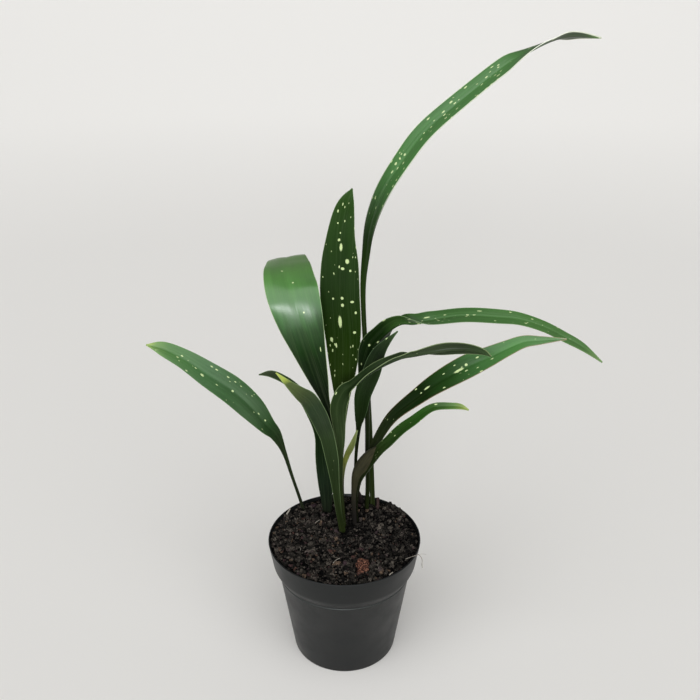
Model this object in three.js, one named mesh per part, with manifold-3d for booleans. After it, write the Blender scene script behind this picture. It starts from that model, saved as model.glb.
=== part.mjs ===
// A cast iron plant in a round nursery pot: twelve leaves, each on a stalk of its own, that rise
// from one creeping root stock under a bed of cinder grit. Millimetres, +Z up. The origin is the
// middle of the pot's flat base, on the surface it stands on, and -Y is the front.
import * as THREE from 'three';
import { mergeVertices } from 'three/addons/utils/BufferGeometryUtils.js';
import Module from 'manifold-3d';

const wasm = await Module();
wasm.setup();

// ---- driving dimensions ----
const GAP = 0.3; // clearance kept between pieces that touch
const HOLE_GAP = 0.35; // clearance round a stalk in its hole

const RIM_RADIUS = 60; // a 12 cm pot
const POT_HEIGHT = 100;
const BASE_RADIUS = 41.6;
const CREASE_RADIUS = 52.4; // where the tapered wall meets the shoulder
const CREASE_HEIGHT = 72;
const BAND_RADIUS = 56.6; // lower edge of the stepped rim band
const BAND_HEIGHT = 79.5;
const WALL = 1.2;
const BASE_PLATE = 1.6;
const EDGE_BEVEL = 0.4; // round the top of the rim
const BASE_BEVEL = 1.2;
const AROUND = 48; // flats round the pot and the soil

const DRAIN_HOLES = 8;
const DRAIN_RADIUS = 3.5;
const DRAIN_SIDES = 10;
const DRAIN_CIRCLE = 32;

const SOIL_EDGE = 96.6; // height of the soil at the wall
const SOIL_MOUND = 1.8; // how much higher it stands in the middle
const GRIT_BUMP = 1; // height of the granules above and below the mean surface
const SOIL_RINGS = 10;

const BLADE_MARGIN = 0.7; // thickness of a blade at its edge
const BLADE_MIDRIB = 1.6; // thickness of a blade along its midrib
const STALK_THICKNESS = 2.4;
const BLADE_GROWTH = 0.25; // share of the leaf over which the stalk widens into the blade
const ACROSS = [-1, -0.5, 0, 0.5, 1]; // points across a leaf, in half widths
const STATIONS_PER_ROW = 2;

const STOCK_RADIUS = 5.2; // the root stock's knots
const STOCK_CENTRE = 80.4; // their height
const STOCK_LINK_RADIUS = 3.6; // the runners between knots
const STOCK_LINK_SIDES = 6;

// ---- the leaves ----
// midrib: [x, y, z, half width] from the bottom of the stalk to the tip.
// faces: [row, x, y, z], where the upper side of the leaf looks at that row of the midrib.
// fold is the V of the two halves in degrees, curl bends the edges down, wave ripples them, and
// crease is [row, degrees, rows]: where the V tightens, by how much, and over what reach.
const LEAVES = [
  {
    name: 'leaf_tall_arching',
    midrib: [
      [23.7, 40, 84, 2.1], [23.2, 45, 104, 2.2], [20.5, 46, 170, 2], [16, 46, 245, 1.9],
      [14, 44, 290, 2.2], [16, 42, 320, 3.7], [18, 40, 337, 5.3], [22, 38, 352, 6.6],
      [29, 37, 368, 7.8], [41, 36, 387, 8.6], [56, 34, 407, 9], [78, 31, 427, 8.8],
      [102, 28, 447, 8.4], [115, 26, 456, 8], [133, 25, 465, 6.4], [148, 24, 468, 4.2],
      [165, 23, 467, 0.4],
    ],
    faces: [
      [0, -0.3, -1, 0.1], [3, -0.4, -1, 0.15], [6, -0.8, -0.8, 0.3], [9, -0.5, -0.65, 0.65],
      [12, -0.5, -0.6, 0.7], [14, -0.5, 0.12, 0.85], [15, -0.3, 0.65, 0.75], [16, -0.2, 0.7, 0.7],
    ],
    fold: 16, bladeFrom: 0.35, wavePhase: 1,
  },
  {
    name: 'leaf_upright',
    midrib: [
      [-2, 44, 84, 2.1], [-3, 44, 124, 1.9], [-3, 44, 157, 2.1], [-2, 43, 194, 5.3],
      [-1, 41, 226, 10.5], [-1, 39, 256, 13.9], [-3, 37, 286, 15], [-3, 35, 313, 13.8],
      [-2.2, 33, 334, 10.4], [0, 32, 351, 7.8], [2.6, 30, 361, 5], [6, 30, 369, 0.4],
    ],
    faces: [[0, -0.1, -1, 0.15], [4, -0.05, -1, 0.2], [8, 0, -1, 0.25], [11, 0.1, -1, 0.3]],
    fold: 10, bladeFrom: 0.15,
  },
  {
    name: 'leaf_arching_back',
    midrib: [
      [-5, 27, 84, 2], [-4, 26, 135, 1.9], [-5, 26, 157, 1.9], [-8, 24, 182, 2],
      [-14, 21, 207, 3.3], [-19, 18, 227, 7.5], [-25, 15, 250, 12], [-31, 13, 274, 16.7],
      [-36.8, 20, 295, 19.2], [-41, 40, 304, 18.8], [-43.5, 64, 305.5, 16.6],
      [-46.5, 92, 301, 13.6], [-49, 113, 280, 8.6], [-51, 128, 254, 0.5],
    ],
    faces: [
      [0, -0.15, -1, 0.05], [4, -0.1, -1, 0.15], [7, -0.1, -1, 0.5], [8, -0.1, -0.6, 0.8],
      [9, 0, -0.05, 1], [10, -0.1, 0.4, 1], [11, -0.2, 0.8, 0.7], [13, -0.1, 1, 0.4],
    ],
    fold: 9, bladeFrom: 0.12, curl: 0.17,
  },
  {
    name: 'leaf_front_short',
    midrib: [
      [0.2, 4, 84, 2.4], [-1.8, 6, 101, 2.6], [-4.6, 6, 120, 2.6], [-7, 6, 144, 3.5],
      [-9, 3, 167, 5.3], [-12, 1, 186, 5.9], [-15, -1, 197, 6.5], [-19, -4, 210, 7],
      [-25, -7, 223, 6.6], [-31, -10, 230, 5.2], [-37, -13, 237, 3.4], [-47, -18, 250, 0.4],
    ],
    faces: [[0, -0.2, -1, 0.2], [4, -0.25, -1, 0.35], [7, -0.2, -1, 0.5], [11, 0, -0.9, 0.6]],
    fold: 15, bladeFrom: 0.1,
  },
  {
    name: 'leaf_far_left',
    midrib: [
      [-31, 35, 84, 1.4], [-36.5, 39.5, 105, 1.3], [-43, 40, 129, 1.3], [-49, 38, 154, 2.1],
      [-55, 36, 171, 4.9], [-61.5, 34, 180.5, 7.1], [-72, 32, 196.5, 10.4], [-86, 30, 212.5, 11.4],
      [-102.5, 27, 227, 10.2], [-120, 24, 242, 7.9], [-135, 21, 252, 5.7], [-146, 19, 256, 0.4],
    ],
    faces: [[0, 0.2, -1, 0.2], [4, 0.25, -0.9, 0.4], [7, 0.3, -0.8, 0.6], [11, 0.2, -0.7, 0.75]],
    fold: 13, bladeFrom: 0.2,
  },
  {
    name: 'leaf_right_arching',
    midrib: [
      [17.3, 39, 84, 1.9], [18.9, 41, 116, 1.8], [18.3, 40, 150, 1.8], [18, 40, 187, 2.1],
      [17, 38, 208, 5], [19, 38, 228, 9], [23, 36, 247, 12.2], [32, 34, 260, 11.6],
      [42, 32, 268, 10], [52, 30, 269, 9.6], [65, 28, 272, 8.8], [88, 26, 276, 8.2],
      [114, 23, 276, 7.5], [129, 21, 275, 6.6], [146, 19, 270, 5.9], [161, 17, 263, 5.2],
      [175, 14, 256, 3.9], [190, 12, 245, 0.5],
    ],
    faces: [
      [0, -0.2, 1, 0.1], [3, -0.2, 1, 0.15], [6, -0.3, 0.9, 0.4], [7, -0.4, 0.75, 0.6],
      [9, -0.3, 0.05, 1], [10, -0.1, -0.3, 1], [13, 0.1, -0.5, 1], [17, 0.3, -0.6, 0.8],
    ],
    fold: 14, crease: [8.4, 38, 1.5], bladeFrom: 0.14,
  },
  {
    name: 'leaf_middle_narrow',
    midrib: [
      [0.8, 12.5, 84, 2.2], [-3, 17, 128, 1.8], [-3, 18, 157, 2], [-3, 16, 178, 3.7],
      [-4, 14, 193, 5.3], [-4, 12, 208, 6.7], [0, 10, 220, 6.8], [7, 8, 228, 6.4],
      [21, 4, 242, 6.2], [39, 1, 253, 6.4], [50, 0, 256, 7], [61, -2, 259, 7.2],
      [75, -4, 262, 6.8], [87, -6, 263, 5.8], [97, -8, 262, 3.8], [104, -9, 259, 0.5],
    ],
    faces: [
      [0, -0.1, -1, 0.1], [4, -0.1, -1, 0.15], [6, -0.3, -0.8, 0.5], [7, -0.4, -0.3, 0.9],
      [8, -0.3, -0.15, 1], [9, -0.2, 0.15, 1], [10, -0.1, 0.6, 0.9], [12, 0.1, 0.9, 0.5],
      [15, 0.3, 0.9, 0.45],
    ],
    fold: 14, crease: [8.4, 25, 1.5], bladeFrom: 0.12,
  },
  {
    name: 'leaf_right_broad',
    midrib: [
      [8, 29, 84, 2.2], [9, 29, 114, 2.2], [12, 28, 135, 2.5], [22, 25, 164, 3.5],
      [28, 23, 179, 4.2], [35, 20, 193, 4.9], [43, 18, 203, 5.6], [55, 15, 215, 6.9],
      [65, 12, 225, 8], [79, 9, 236, 9.2], [92, 6, 245, 9.6], [104, 4, 252, 8.4],
      [117, 2, 260, 6.6], [128, 0, 266, 5.2], [139, -2, 268, 3.6], [157, -4, 270, 0.4],
    ],
    faces: [
      [0, -0.4, -0.9, 0.2], [3, -0.5, -0.75, 0.45], [8, -0.4, -0.7, 0.6],
      [12, -0.3, -0.65, 0.75], [15, -0.1, -0.6, 0.8],
    ],
    fold: 15, bladeFrom: 0.22,
  },
  {
    name: 'leaf_right_small',
    midrib: [
      [10.5, 21, 84, 1.9], [8.3, 20, 121, 2], [11.5, 19, 139, 2.3], [25, 14, 167, 4.1],
      [34, 11, 179, 4.5], [43, 8, 191, 4.5], [52, 4, 201, 4.1], [61, 2, 210, 3.5],
      [68, -1, 215, 3.1], [78, -4, 217, 2.7], [85, -5, 217, 2.3], [91, -6, 215, 0.4],
    ],
    faces: [
      [0, -0.4, -0.9, 0.3], [4, -0.5, -0.7, 0.6], [8, -0.3, -0.65, 0.75], [11, -0.1, -0.6, 0.85],
    ],
    fold: 16, bladeFrom: 0.2,
  },
  {
    name: 'leaf_dark_short',
    midrib: [
      [11, 43, 84, 1.3], [9, 42, 116, 1.2], [9, 38, 146, 1.2], [11, 34, 177, 2],
      [12, 33, 187, 3.8], [13, 32, 197, 5.4], [14, 30, 208, 6.4], [17, 28, 219, 7.1],
      [21, 26, 231, 7.2], [24, 24, 242, 6.4], [27, 22, 250, 4.9], [32, 20, 258, 2.7],
      [39, 18, 267, 0.4],
    ],
    faces: [[0, -0.1, -1, 0.1], [3, -0.1, -1, 0.15], [8, -0.3, -0.9, 0.3], [12, -0.4, -0.8, 0.4]],
    fold: 11, bladeFrom: 0.22,
  },
  {
    name: 'leaf_left_back',
    midrib: [
      [-16.5, 35, 84, 1.8], [-14.8, 34, 102, 4.2], [-15.9, 33, 126, 6.1], [-18.2, 31, 151, 5.3],
      [-18, 29, 170, 5.4], [-20, 27, 183, 5.4], [-25, 24, 198, 5.2], [-30, 22, 210, 4.7],
      [-37, 20, 220, 3.9], [-44, 17, 228, 3.2], [-54, 15, 234, 2.8], [-63, 12, 235, 0.4],
    ],
    faces: [[0, -0.3, -1, 0.1], [5, -0.25, -1, 0.25], [8, -0.2, -1, 0.5], [11, 0, -0.85, 0.6]],
    fold: 16, bladeFrom: 0.08,
  },
  {
    name: 'leaf_young',
    midrib: [
      [0, 33, 84, 1.5], [-2, 32, 122, 1.4], [-1, 30, 143, 1.8], [2, 29, 156, 2.4],
      [6, 28, 166, 2.5], [10, 27, 180, 0.4],
    ],
    faces: [[0, -0.1, -1, 0.2], [5, -0.3, -1, 0.3]],
    fold: 24, bladeFrom: 0.3,
  },
];

// The papery scales at the foot of the stalks. A large curl wraps each one round what it sheathes.
const SCALES = [
  {
    name: 'stalk_sheath', color: 0x67664b,
    midrib: [
      [8.5, 15, 90, 1.9], [7, 14, 119, 1.9], [7, 14, 134, 2.4], [8, 12, 147, 3.8],
      [12, 11, 157, 5.2], [18, 10, 168, 3.7], [24, 8, 176, 0.4],
    ],
    faces: [[0, -0.3, -1, 0.1], [3, -0.4, -0.9, 0.3], [6, -0.5, -0.7, 0.6]],
    fold: 0, bladeFrom: -0.3, curl: 0.75, wave: 0, thickness: 1.2,
  },
  {
    name: 'shoot_pink', color: 0x9c7c7c,
    midrib: [[27, 37, 90, 0.9], [27.4, 37, 101, 1], [27.3, 37, 110, 0.4]],
    faces: [[0, -0.2, -1, 0.1], [2, -0.2, -1, 0.1]],
    fold: 0, bladeFrom: -0.3, curl: 0.2, wave: 0, thickness: 1.8,
  },
  {
    name: 'scale_dark', color: 0x3d333a,
    midrib: [[13, 47.5, 90, 2.6], [12.5, 47.5, 101, 2.9], [11, 47.5, 108, 2.2], [9.5, 47, 115, 0.4]],
    faces: [[0, -0.2, -1, 0.1], [3, -0.2, -1, 0.2]],
    fold: 0, bladeFrom: -0.3, curl: 0.5, wave: 0, thickness: 1.1,
  },
];

// The runners of the root stock, each from the foot of one stalk to the foot of another.
const RUNNERS = [
  ['leaf_far_left', 'leaf_left_back'],
  ['leaf_left_back', 'leaf_arching_back'],
  ['leaf_arching_back', 'leaf_middle_narrow'],
  ['leaf_middle_narrow', 'leaf_front_short'],
  ['leaf_middle_narrow', 'leaf_young'],
  ['leaf_young', 'leaf_upright'],
  ['leaf_young', 'leaf_right_broad'],
  ['leaf_right_broad', 'leaf_right_small'],
  ['leaf_right_broad', 'leaf_dark_short'],
  ['leaf_dark_short', 'leaf_right_arching'],
  ['leaf_right_arching', 'leaf_tall_arching'],
];

// The one red cinder: a lump drawn out along the pot by depth, flattened by height, and narrower
// towards the front by taper.
const CINDER = { x: 13.8, y: -36.4, z: 98, radius: 4.9, depth: 1.5, height: 0.9, taper: 0.2 };

// ---- solids and meshes ----
function solidOf(geometry) {
  const bare = geometry.index ? geometry.toNonIndexed() : geometry.clone();
  bare.deleteAttribute('normal');
  bare.deleteAttribute('uv');
  const merged = mergeVertices(bare, 1e-4);
  return new wasm.Manifold(new wasm.Mesh({
    numProp: 3,
    vertProperties: merged.attributes.position.array,
    triVerts: new Uint32Array(merged.index.array),
  }));
}

function geometryOf(solid) {
  const mesh = solid.getMesh();
  const geometry = new THREE.BufferGeometry();
  geometry.setAttribute('position', new THREE.BufferAttribute(mesh.vertProperties, 3));
  geometry.setIndex(new THREE.BufferAttribute(mesh.triVerts, 1));
  geometry.computeVertexNormals();
  return geometry;
}

const plant = new THREE.Group();

function addPiece(name, geometry, { color, roughness }) {
  const material = new THREE.MeshStandardMaterial({ color, roughness, metalness: 0 });
  const mesh = new THREE.Mesh(geometry, material);
  mesh.name = name;
  plant.add(mesh);
}

// A repeatable number from 0 up to 1 for whole numbers i and j.
function chance(i, j) {
  const wave = Math.sin(i * 127.1 + j * 311.7 + 5.3) * 43758.5453;
  return wave - Math.floor(wave);
}

// ---- leaf surface ----
const smooth = (x) => THREE.MathUtils.smoothstep(x, 0, 1);

// Catmull-Rom value of one column of the rows at t, from 0 at the first row to 1 at the last.
function columnAt(rows, column, t) {
  const last = rows.length - 1;
  const along = THREE.MathUtils.clamp(t, 0, 1) * last;
  const i = Math.min(Math.floor(along), last - 1);
  const f = along - i;
  const b = rows[i][column];
  const c = rows[i + 1][column];
  const a = i > 0 ? rows[i - 1][column] : 2 * b - c;
  const d = i + 2 <= last ? rows[i + 2][column] : 2 * c - b;
  return 0.5 * (2 * b + (c - a) * f + (2 * a - 5 * b + 4 * c - d) * f * f
    + (3 * b - a - 3 * c + d) * f * f * f);
}

function midribAt(leaf, t) {
  return new THREE.Vector3(...[0, 1, 2].map((column) => columnAt(leaf.midrib, column, t)));
}

function faceAt(leaf, t) {
  const row = THREE.MathUtils.clamp(t, 0, 1) * (leaf.midrib.length - 1);
  const keys = leaf.faces;
  let k = 0;
  while (k < keys.length - 2 && keys[k + 1][0] <= row) k += 1;
  const from = new THREE.Vector3(...keys[k].slice(1)).normalize();
  const to = new THREE.Vector3(...keys[k + 1].slice(1)).normalize();
  return from.lerp(to, smooth((row - keys[k][0]) / (keys[k + 1][0] - keys[k][0])));
}

// The V between the two halves of the blade at t, in radians. It tightens where the leaf turns over.
function foldAt(leaf, t) {
  const [row, tighter, reach] = leaf.crease ?? [0, 0, 1];
  const away = (t * (leaf.midrib.length - 1) - row) / reach;
  return THREE.MathUtils.degToRad(leaf.fold + tighter * Math.exp(-(away ** 2)));
}

// The point of the leaf's upper or lower side at t along it and u across it, grown by a clearance.
function leafPoint(leaf, t, u, side, clearance = 0) {
  const step = 1e-3;
  const tangent = midribAt(leaf, Math.min(t + step, 1)).sub(midribAt(leaf, Math.max(t - step, 0)));
  tangent.normalize();
  const normal = faceAt(leaf, t);
  normal.addScaledVector(tangent, -normal.dot(tangent)).normalize();
  const across = tangent.clone().cross(normal);
  const { curl = 0.1, wave = 0.05, wavePhase = 0 } = leaf;

  const half = Math.max(columnAt(leaf.midrib, 3, t), 0.35) + clearance;
  const blade = smooth((t - leaf.bladeFrom) / BLADE_GROWTH);
  const fold = foldAt(leaf, t);
  const valley = Math.sqrt(u * u + 0.01) - 0.1;
  const ripple = Math.sin(5 * Math.PI * t + wavePhase + (u > 0 ? 1.9 : 0));
  const rise = half * blade * (valley * Math.sin(fold) - curl * u * u
    + wave * u * Math.abs(u) * ripple);

  const stalkRidge = (STALK_THICKNESS - BLADE_MARGIN) * (1 - u * u);
  const bladeRidge = (BLADE_MIDRIB - BLADE_MARGIN) * (1 - Math.abs(u)) ** 2;
  const taper = 1 - 0.8 * smooth((t - 0.7) / 0.3);
  const ridge = THREE.MathUtils.lerp(stalkRidge, bladeRidge * taper, blade);
  const thickness = leaf.thickness ?? BLADE_MARGIN + ridge;
  const depth = side === 'upper' ? clearance : -thickness - clearance;
  return midribAt(leaf, t)
    .addScaledVector(across, half * u * Math.cos(fold))
    .addScaledVector(normal, rise + depth);
}

// A closed strip between an upper and a lower face. Both faces are split along the same
// diagonals, so that they stay apart where the blade ripples.
function stripGeometry(rows) {
  const width = ACROSS.length;
  const positions = rows.flatMap(({ upper, lower }) => [...upper, ...lower])
    .flatMap((point) => point.toArray());
  const up = (i, j) => i * 2 * width + j;
  const low = (i, j) => up(i, j) + width;
  const faces = [];
  for (let i = 0; i < rows.length - 1; i += 1) {
    for (let j = 0; j < width - 1; j += 1) {
      faces.push(up(i, j), up(i, j + 1), up(i + 1, j + 1), up(i, j), up(i + 1, j + 1), up(i + 1, j));
      faces.push(low(i, j), low(i + 1, j + 1), low(i, j + 1));
      faces.push(low(i, j), low(i + 1, j), low(i + 1, j + 1));
    }
    const e = width - 1;
    faces.push(up(i, 0), up(i + 1, 0), low(i + 1, 0), up(i, 0), low(i + 1, 0), low(i, 0));
    faces.push(up(i, e), low(i, e), low(i + 1, e), up(i, e), low(i + 1, e), up(i + 1, e));
  }
  const n = rows.length - 1;
  for (let j = 0; j < width - 1; j += 1) {
    faces.push(up(0, j), low(0, j), low(0, j + 1), up(0, j), low(0, j + 1), up(0, j + 1));
    faces.push(up(n, j), low(n, j + 1), low(n, j), up(n, j), up(n, j + 1), low(n, j + 1));
  }
  const geometry = new THREE.BufferGeometry();
  geometry.setAttribute('position', new THREE.Float32BufferAttribute(positions, 3));
  geometry.setIndex(faces);
  geometry.computeVertexNormals();
  return geometry;
}

function crossRow(leaf, t, clearance = 0) {
  return {
    upper: ACROSS.map((u) => leafPoint(leaf, t, u, 'upper', clearance)),
    lower: ACROSS.map((u) => leafPoint(leaf, t, u, 'lower', clearance)),
  };
}

function leafGeometry(leaf) {
  const stations = (leaf.midrib.length - 1) * STATIONS_PER_ROW;
  const rows = [];
  for (let k = 0; k <= stations; k += 1) rows.push(crossRow(leaf, k / stations));
  return stripGeometry(rows);
}

// The plain hole that a stalk stands in: the stalk itself, grown all round, up to clear air.
function holeGeometry(leaf) {
  const clearAir = SOIL_EDGE + SOIL_MOUND + 3 * GRIT_BUMP;
  const stations = (leaf.midrib.length - 1) * STATIONS_PER_ROW;
  const rows = [];
  for (let k = 0; k <= stations; k += 1) {
    rows.push(crossRow(leaf, k / stations, HOLE_GAP));
    if (midribAt(leaf, k / stations).z > clearAir) break;
  }
  for (const point of [...rows[0].upper, ...rows[0].lower]) point.z -= HOLE_GAP;
  return stripGeometry(rows);
}

// ---- pot ----
// The inside of the wall as [radius, height] pairs, from the base plate up.
function potInside() {
  return [
    [BASE_RADIUS - WALL - 0.6, BASE_PLATE],
    [BASE_RADIUS - WALL + 0.4, BASE_PLATE + 1.4],
    [CREASE_RADIUS - WALL, CREASE_HEIGHT + 0.6],
    [BAND_RADIUS - WALL, BAND_HEIGHT + 0.6],
    [RIM_RADIUS - WALL, POT_HEIGHT - EDGE_BEVEL],
  ];
}

function latheGeometry(profile) {
  const geometry = new THREE.LatheGeometry(
    profile.map(([radius, height]) => new THREE.Vector2(radius, height)), AROUND);
  return geometry.rotateX(Math.PI / 2);
}

function potSolid() {
  const profile = [
    [0, 0],
    [BASE_RADIUS - BASE_BEVEL, 0],
    [BASE_RADIUS, BASE_BEVEL],
    [CREASE_RADIUS, CREASE_HEIGHT],
    [BAND_RADIUS, BAND_HEIGHT],
    [RIM_RADIUS, POT_HEIGHT - EDGE_BEVEL],
    [RIM_RADIUS - EDGE_BEVEL, POT_HEIGHT],
    [RIM_RADIUS - WALL + EDGE_BEVEL, POT_HEIGHT],
    ...potInside().reverse(),
    [0, BASE_PLATE],
  ];
  let pot = solidOf(latheGeometry(profile));
  for (let k = 0; k < DRAIN_HOLES; k += 1) {
    const angle = (2 * Math.PI * (k + 0.5)) / DRAIN_HOLES;
    const drill = new THREE.CylinderGeometry(DRAIN_RADIUS, DRAIN_RADIUS, 6, DRAIN_SIDES);
    drill.rotateX(Math.PI / 2);
    drill.translate(DRAIN_CIRCLE * Math.cos(angle), DRAIN_CIRCLE * Math.sin(angle), 1);
    pot = pot.subtract(solidOf(drill));
  }
  return pot;
}

// ---- root stock ----
const footOf = (name) => LEAVES.find((leaf) => leaf.name === name).midrib[0];

function rootStock(clearance) {
  let stock = null;
  const join = (solid) => {
    stock = stock ? stock.add(solid) : solid;
  };
  for (const { midrib: [[x, y]] } of LEAVES) {
    const knot = new THREE.OctahedronGeometry(STOCK_RADIUS + clearance, 1);
    join(solidOf(knot.translate(x, y, STOCK_CENTRE)));
  }
  for (const [from, to] of RUNNERS) {
    const a = new THREE.Vector3(footOf(from)[0], footOf(from)[1], STOCK_CENTRE);
    const b = new THREE.Vector3(footOf(to)[0], footOf(to)[1], STOCK_CENTRE);
    const radius = STOCK_LINK_RADIUS + clearance;
    const runner = new THREE.CylinderGeometry(radius, radius, a.distanceTo(b), STOCK_LINK_SIDES);
    const turn = new THREE.Quaternion().setFromUnitVectors(
      new THREE.Vector3(0, 1, 0), b.clone().sub(a).normalize());
    runner.applyQuaternion(turn);
    const middle = a.lerp(b, 0.5);
    join(solidOf(runner.translate(middle.x, middle.y, middle.z)));
  }
  return stock;
}

// ---- soil ----
// A solid of revolution whose top is a low mound of loose grit, each point moved by chance.
function soilBlock() {
  const side = potInside().map(([radius, height]) => [radius - GAP, height]);
  side[0][1] += GAP;
  side[1][1] += GAP;
  const wallTop = side[3];
  const rimTop = side[4];
  const edge = (SOIL_EDGE - wallTop[1]) / (rimTop[1] - wallTop[1]);
  const edgeRadius = THREE.MathUtils.lerp(wallTop[0], rimTop[0], edge);
  side[4] = [edgeRadius, SOIL_EDGE];

  const rings = side.map(([radius, height]) => ({ radius, height, bump: 0 }));
  for (let k = SOIL_RINGS - 1; k >= 1; k -= 1) {
    const radius = (edgeRadius * k) / SOIL_RINGS;
    const height = SOIL_EDGE + SOIL_MOUND * (1 - (k / SOIL_RINGS) ** 2);
    rings.push({ radius, height, bump: GRIT_BUMP * Math.min(1, k / 4) });
  }
  const positions = [0, 0, side[0][1]];
  rings.forEach(({ radius, height, bump }, i) => {
    for (let j = 0; j < AROUND; j += 1) {
      const angle = (2 * Math.PI * j) / AROUND;
      const z = height + bump * (2 * chance(i, j) - 1);
      positions.push(radius * Math.sin(angle), -radius * Math.cos(angle), z);
    }
  });
  positions.push(0, 0, SOIL_EDGE + SOIL_MOUND);

  const at = (i, j) => 1 + i * AROUND + (j % AROUND);
  const top = 1 + rings.length * AROUND;
  const faces = [];
  for (let j = 0; j < AROUND; j += 1) {
    faces.push(0, at(0, j + 1), at(0, j), top, at(rings.length - 1, j), at(rings.length - 1, j + 1));
    for (let i = 0; i < rings.length - 1; i += 1) {
      faces.push(at(i, j), at(i, j + 1), at(i + 1, j + 1), at(i, j), at(i + 1, j + 1), at(i + 1, j));
    }
  }
  const geometry = new THREE.BufferGeometry();
  geometry.setAttribute('position', new THREE.Float32BufferAttribute(positions, 3));
  geometry.setIndex(faces);
  return solidOf(geometry);
}

// A lumpy pebble of burnt clay, half sunk in the grit.
function cinderSolid(clearance) {
  const geometry = new THREE.IcosahedronGeometry(1, 1);
  const position = geometry.attributes.position;
  const point = new THREE.Vector3();
  for (let i = 0; i < position.count; i += 1) {
    point.fromBufferAttribute(position, i);
    const lump = Math.sin(3 * point.x + 1) * Math.cos(4 * point.y) * 0.1;
    point.multiplyScalar(CINDER.radius * (1 + lump) + clearance);
    const narrower = 1 + (CINDER.taper * point.y) / CINDER.radius;
    position.setXYZ(i, point.x * narrower, point.y * CINDER.depth, point.z * CINDER.height);
  }
  return solidOf(geometry.translate(CINDER.x, CINDER.y, CINDER.z));
}

// ---- assembly ----
const potLook = { color: 0x4b4e4f, roughness: 0.5 };
const soilLook = { color: 0x2b2626, roughness: 1 };
const leafLook = { color: 0x3f6b38, roughness: 0.4 };
const stockLook = { color: 0xb39a72, roughness: 0.8 };
const cinderLook = { color: 0x7a4436, roughness: 1 };

addPiece('pot', geometryOf(potSolid()), potLook);
addPiece('root_stock', geometryOf(rootStock(0)), stockLook);

const stockClear = rootStock(GAP);
let soil = soilBlock().subtract(stockClear).subtract(cinderSolid(GAP));
for (const stem of [...LEAVES, ...SCALES]) soil = soil.subtract(solidOf(holeGeometry(stem)));
addPiece('soil', geometryOf(soil), soilLook);
addPiece('red_cinder', geometryOf(cinderSolid(0)), cinderLook);

for (const leaf of LEAVES) {
  addPiece(leaf.name, geometryOf(solidOf(leafGeometry(leaf)).subtract(stockClear)), leafLook);
}
for (const scale of SCALES) {
  addPiece(scale.name, leafGeometry(scale), { color: scale.color, roughness: 0.7 });
}

export default plant;
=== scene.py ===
import math
import random

import bmesh
import bpy
from mathutils import Matrix, Vector, noise


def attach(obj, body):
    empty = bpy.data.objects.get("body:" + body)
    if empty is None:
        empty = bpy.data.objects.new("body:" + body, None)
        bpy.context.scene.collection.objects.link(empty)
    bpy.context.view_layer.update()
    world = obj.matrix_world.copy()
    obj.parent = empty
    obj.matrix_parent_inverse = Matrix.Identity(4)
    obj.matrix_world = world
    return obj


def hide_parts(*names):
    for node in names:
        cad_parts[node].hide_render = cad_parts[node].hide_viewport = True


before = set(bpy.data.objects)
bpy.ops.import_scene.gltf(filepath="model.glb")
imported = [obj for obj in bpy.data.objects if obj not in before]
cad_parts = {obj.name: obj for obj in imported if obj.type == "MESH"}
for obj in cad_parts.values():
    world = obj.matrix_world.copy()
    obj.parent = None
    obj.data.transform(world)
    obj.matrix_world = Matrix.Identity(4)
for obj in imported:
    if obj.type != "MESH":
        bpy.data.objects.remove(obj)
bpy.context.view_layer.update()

# ---- Studio floor ----
# One wide sheet of pale matte board: flat under the pot and rising gently far away all round, so
# that its edge lies above the picture. It is a stage and not part of the plant.
MM = 0.001
FLOOR_RADIUS = 1300 * MM
FLOOR_CURVE = 9000 * MM
FLOOR_TURN = 9
FLOOR_SLOPE = 7000 * MM
FLOOR_SIDES = 96
CURVE_STEPS = 10


def linear(hex_colour):
    """The linear RGBA of an sRGB colour such as "3a3d3d"."""
    channels = [int(hex_colour[i:i + 2], 16) / 255 for i in (0, 2, 4)]
    return [c / 12.92 if c <= 0.04045 else ((c + 0.055) / 1.055) ** 2.4 for c in channels] + [1]


def shader_socket(material, name):
    """The socket of the material's Principled shader, with _ for each blank in its name."""
    return material.node_tree.nodes["Principled BSDF"].inputs[name.replace("_", " ")]


def new_material(name, **sockets):
    """A material whose Principled shader has these sockets set, such as Roughness=0.5."""
    material = bpy.data.materials.new(name)
    material.use_nodes = True
    for socket, value in sockets.items():
        shader_socket(material, socket).default_value = value
    return material


def pick_edges(piece, wanted):
    """Selects, in edit mode, the edges whose two ends both pass the test, and no others."""
    bpy.ops.mesh.select_all(action="DESELECT")
    mesh = bmesh.from_edit_mesh(piece.data)
    for edge in mesh.edges:
        edge.select_set(all(wanted(vertex.co) for vertex in edge.verts))
    bmesh.update_edit_mesh(piece.data)


def ring_of_edges(name, radius, height, sides):
    """A round ring of edges round the Z axis, open in edit mode with all of it selected."""
    bpy.ops.mesh.primitive_circle_add(vertices=sides, radius=radius, location=(0, 0, height))
    bpy.ops.object.transform_apply()
    piece = bpy.context.object
    piece.name = name
    bpy.ops.object.mode_set(mode="EDIT")
    bpy.ops.mesh.select_mode(type="EDGE")
    bpy.ops.mesh.select_all(action="SELECT")
    return piece


def pull_ring(profile):
    """Extrudes the selected ring from the profile's first (radius, height) to each of the rest."""
    for (radius, height), (next_radius, next_height) in zip(profile, profile[1:]):
        rise = {"value": (0, 0, next_height - height)}
        bpy.ops.mesh.extrude_region_move(TRANSFORM_OT_translate=rise)
        grow = next_radius / radius
        bpy.ops.transform.resize(value=(grow, grow, 1))


def close_up(inside=False):
    """Turns every face of the piece in edit mode outwards, or inwards, and leaves edit mode."""
    bpy.ops.mesh.select_all(action="SELECT")
    bpy.ops.mesh.normals_make_consistent(inside=inside)
    bpy.ops.object.mode_set(mode="OBJECT")


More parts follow.
